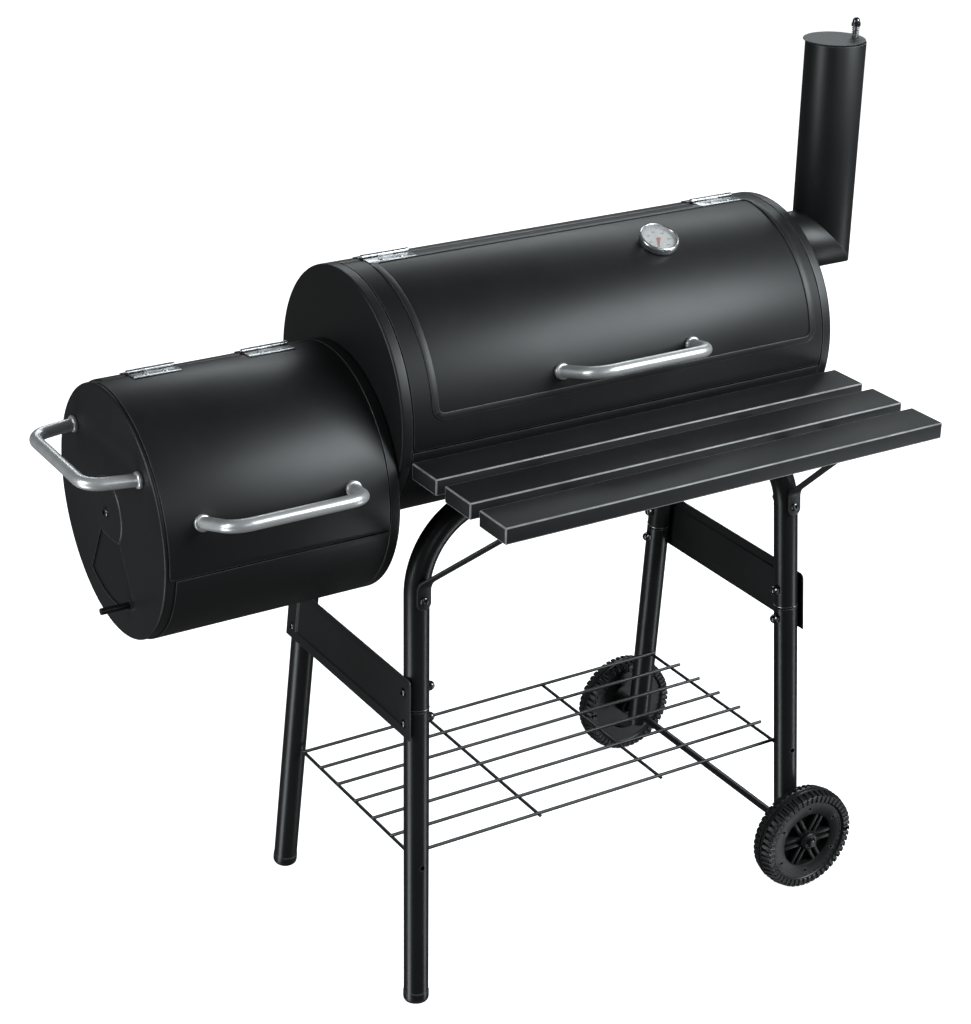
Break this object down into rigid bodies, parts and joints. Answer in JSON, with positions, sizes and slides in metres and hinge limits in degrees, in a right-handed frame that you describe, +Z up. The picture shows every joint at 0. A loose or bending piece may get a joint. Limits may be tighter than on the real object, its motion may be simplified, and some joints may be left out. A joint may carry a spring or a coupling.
{
  "type": "offset smoker",
  "caption": "Free-standing charcoal barrel smoker with a side firebox, an elbowed chimney, a slatted front shelf and a tubular stand on two wheels.",
  "frame": {"origin": "on the floor under the middle of the whole smoker's box", "axes": "+Z up from the floor; -Y is the front, where the shelf and lid handles are; the firebox is on the -X end and the chimney on the +X end"},
  "size_m": [1.0631, 0.596, 1.1254],
  "materials": {
    "black_coat": "satin black heat-resistant powder coat on sheet steel and tube",
    "slat_paint": "satin black paint on planed wood, with no grain showing",
    "stainless": "polished bent stainless bar with lengthwise brushing",
    "zinc": "bright zinc plate",
    "grate_chrome": "chrome-plated steel wire",
    "wheel_plastic": "moulded black plastic",
    "dial_white": "matt white printed dial",
    "pointer_red": "red lacquer",
    "lens_glass": "clear flat glass"
  },
  "bodies": {
    "smoker_frame": {"barrel_body": "black_coat", "barrel_end_left": "black_coat", "barrel_end_right": "black_coat", "main_hinge_body_leaf_left": "zinc", "main_hinge_body_leaf_right": "zinc", "main_hinge_pin_left": "zinc", "main_hinge_pin_right": "zinc", "firebox_body": "black_coat", "firebox_end_left": "black_coat", "firebox_end_right": "black_coat", "firebox_side_handle": "stainless", "firebox_hinge_body_leaf_left": "zinc", "firebox_hinge_body_leaf_right": "zinc", "firebox_hinge_pin_left": "zinc", "firebox_hinge_pin_right": "zinc", "air_damper_rivet": "zinc", "cooking_grate_left": "grate_chrome", "cooking_grate_right": "grate_chrome", "charcoal_grate": "grate_chrome", "firebox_grate": "grate_chrome", "chimney_stub": "black_coat", "chimney_pipe": "black_coat", "damper_bolt": "zinc", "damper_spring": "zinc", "damper_acorn_nut": "zinc", "front_leg_arch": "black_coat", "rear_leg_arch": "black_coat", "front_left_leg": "black_coat", "front_right_leg": "black_coat", "rear_left_leg": "black_coat", "rear_right_leg": "black_coat", "side_panel_left": "black_coat", "side_panel_right": "black_coat", "bottom_rack": "black_coat", "axle": "zinc", "shelf_slat_1": "slat_paint", "shelf_slat_2": "slat_paint", "shelf_slat_3": "slat_paint", "shelf_arm_left": "black_coat", "shelf_arm_right": "black_coat", "shelf_brace_left": "black_coat", "shelf_brace_right": "black_coat"},
    "main_lid": {"main_lid": "black_coat", "main_lid_handle": "stainless", "main_hinge_lid_leaf_left": "zinc", "main_hinge_lid_leaf_right": "zinc", "thermometer_case": "stainless", "thermometer_dial": "dial_white", "thermometer_lens": "lens_glass", "thermometer_probe": "stainless"},
    "thermometer_pointer": {"thermometer_needle": "pointer_red"},
    "firebox_lid": {"firebox_lid": "black_coat", "firebox_lid_handle": "stainless", "firebox_hinge_lid_leaf_left": "zinc", "firebox_hinge_lid_leaf_right": "zinc"},
    "chimney_damper": {"chimney_damper": "black_coat"},
    "air_damper": {"air_damper": "black_coat"},
    "wheel_front": {"wheel_front": "wheel_plastic"},
    "wheel_rear": {"wheel_rear": "wheel_plastic"}
  },
  "joints": [
    {"name": "main_lid_hinge", "type": "hinge", "parent": "smoker_frame", "child": "main_lid", "pos_m": [0.13012, 0.07597, 0.90279], "axis": [-1, 0, 0], "range_deg": [0, 100]},
    {"name": "thermometer_turn", "type": "hinge", "parent": "main_lid", "child": "thermometer_pointer", "pos_m": [0.22712, -0.00933, 0.89772], "axis": [0, 0.4067, -0.9135], "range_deg": [0, 300], "stiffness_Nm_per_rad": 0.001},
    {"name": "firebox_lid_hinge", "type": "hinge", "parent": "smoker_frame", "child": "firebox_lid", "pos_m": [-0.31988, 0.09001, 0.81003], "axis": [-1, 0, 0], "range_deg": [0, 95]},
    {"name": "chimney_damper_swing", "type": "hinge", "parent": "smoker_frame", "child": "chimney_damper", "pos_m": [0.52272, 0.01102, 1.10006], "axis": [0, 0, -1], "range_deg": [-6, 90]},
    {"name": "air_damper_swing", "type": "hinge", "parent": "smoker_frame", "child": "air_damper", "pos_m": [-0.46588, 0.06599, 0.6585], "axis": [1, 0, 0], "range_deg": [0, 46]},
    {"name": "front_wheel_spin", "type": "hinge", "parent": "smoker_frame", "child": "wheel_front", "pos_m": [0.40474, -0.15403, 0.072], "axis": [0, 1, 0], "continuous": true},
    {"name": "rear_wheel_spin", "type": "hinge", "parent": "smoker_frame", "child": "wheel_rear", "pos_m": [0.40474, 0.27301, 0.072], "axis": [0, 1, 0], "continuous": true}
  ]
}
